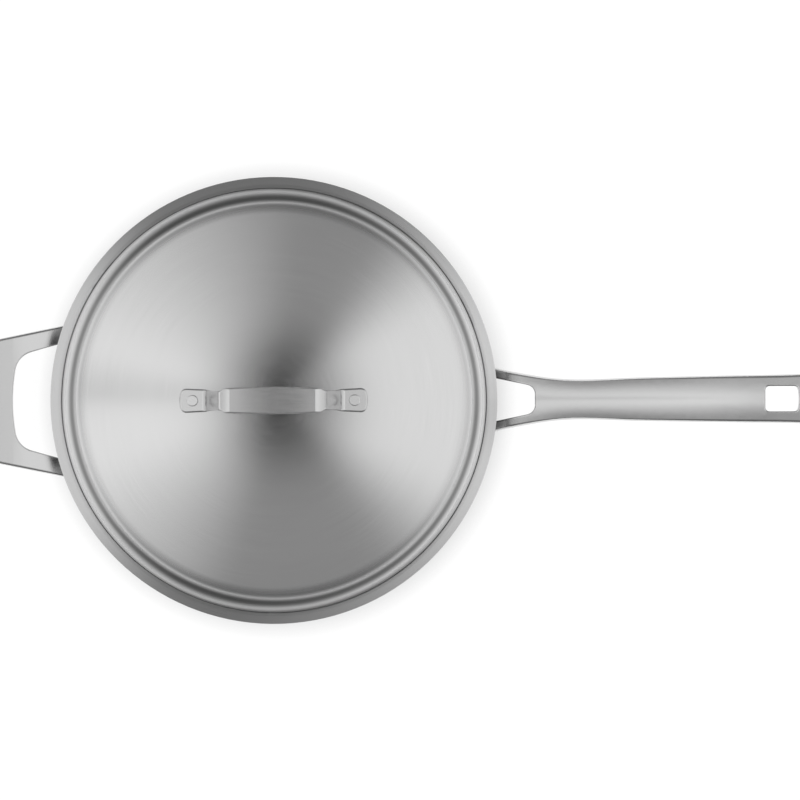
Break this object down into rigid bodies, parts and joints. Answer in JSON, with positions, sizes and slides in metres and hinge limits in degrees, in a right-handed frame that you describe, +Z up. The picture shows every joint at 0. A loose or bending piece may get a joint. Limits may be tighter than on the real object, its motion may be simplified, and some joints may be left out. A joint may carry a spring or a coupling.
{
  "type": "saute pan with lid",
  "caption": "Round clad stainless steel saute pan with straight walls, a flared rim, a forked long handle, a helper handle and a lift-off domed lid with a riveted strap handle.",
  "frame": {"origin": "centre of the flat base, on the plane that the pan stands on", "axes": "+X along the long handle towards its tip, +Z up, +Y to the left when looking along +X"},
  "size_m": [0.4766, 0.2612, 0.1226],
  "materials": {
    "cooking_steel": "circular brushed",
    "core_aluminium": "turned edge",
    "outer_steel": "circular brushed",
    "lid_steel": "circular brushed",
    "cast_steel": "satin, brushed lengthwise",
    "rivet_steel": "satin"
  },
  "bodies": {
    "pan": {"pan_inner_ply": "cooking_steel", "pan_core_ply": "core_aluminium", "pan_outer_ply": "outer_steel", "long_handle": "cast_steel", "long_handle_rivet_1": "rivet_steel", "long_handle_rivet_2": "rivet_steel", "helper_handle": "cast_steel", "helper_rivet_1": "rivet_steel", "helper_rivet_2": "rivet_steel"},
    "lid": {"lid_shell": "lid_steel", "lid_handle": "cast_steel", "lid_rivet_1": "rivet_steel", "lid_rivet_2": "rivet_steel"}
  },
  "joints": [
    {"name": "lid_lift", "type": "slide", "parent": "pan", "child": "lid", "axis": [0, 0, 1], "range_m": [0, 0.12]}
  ]
}
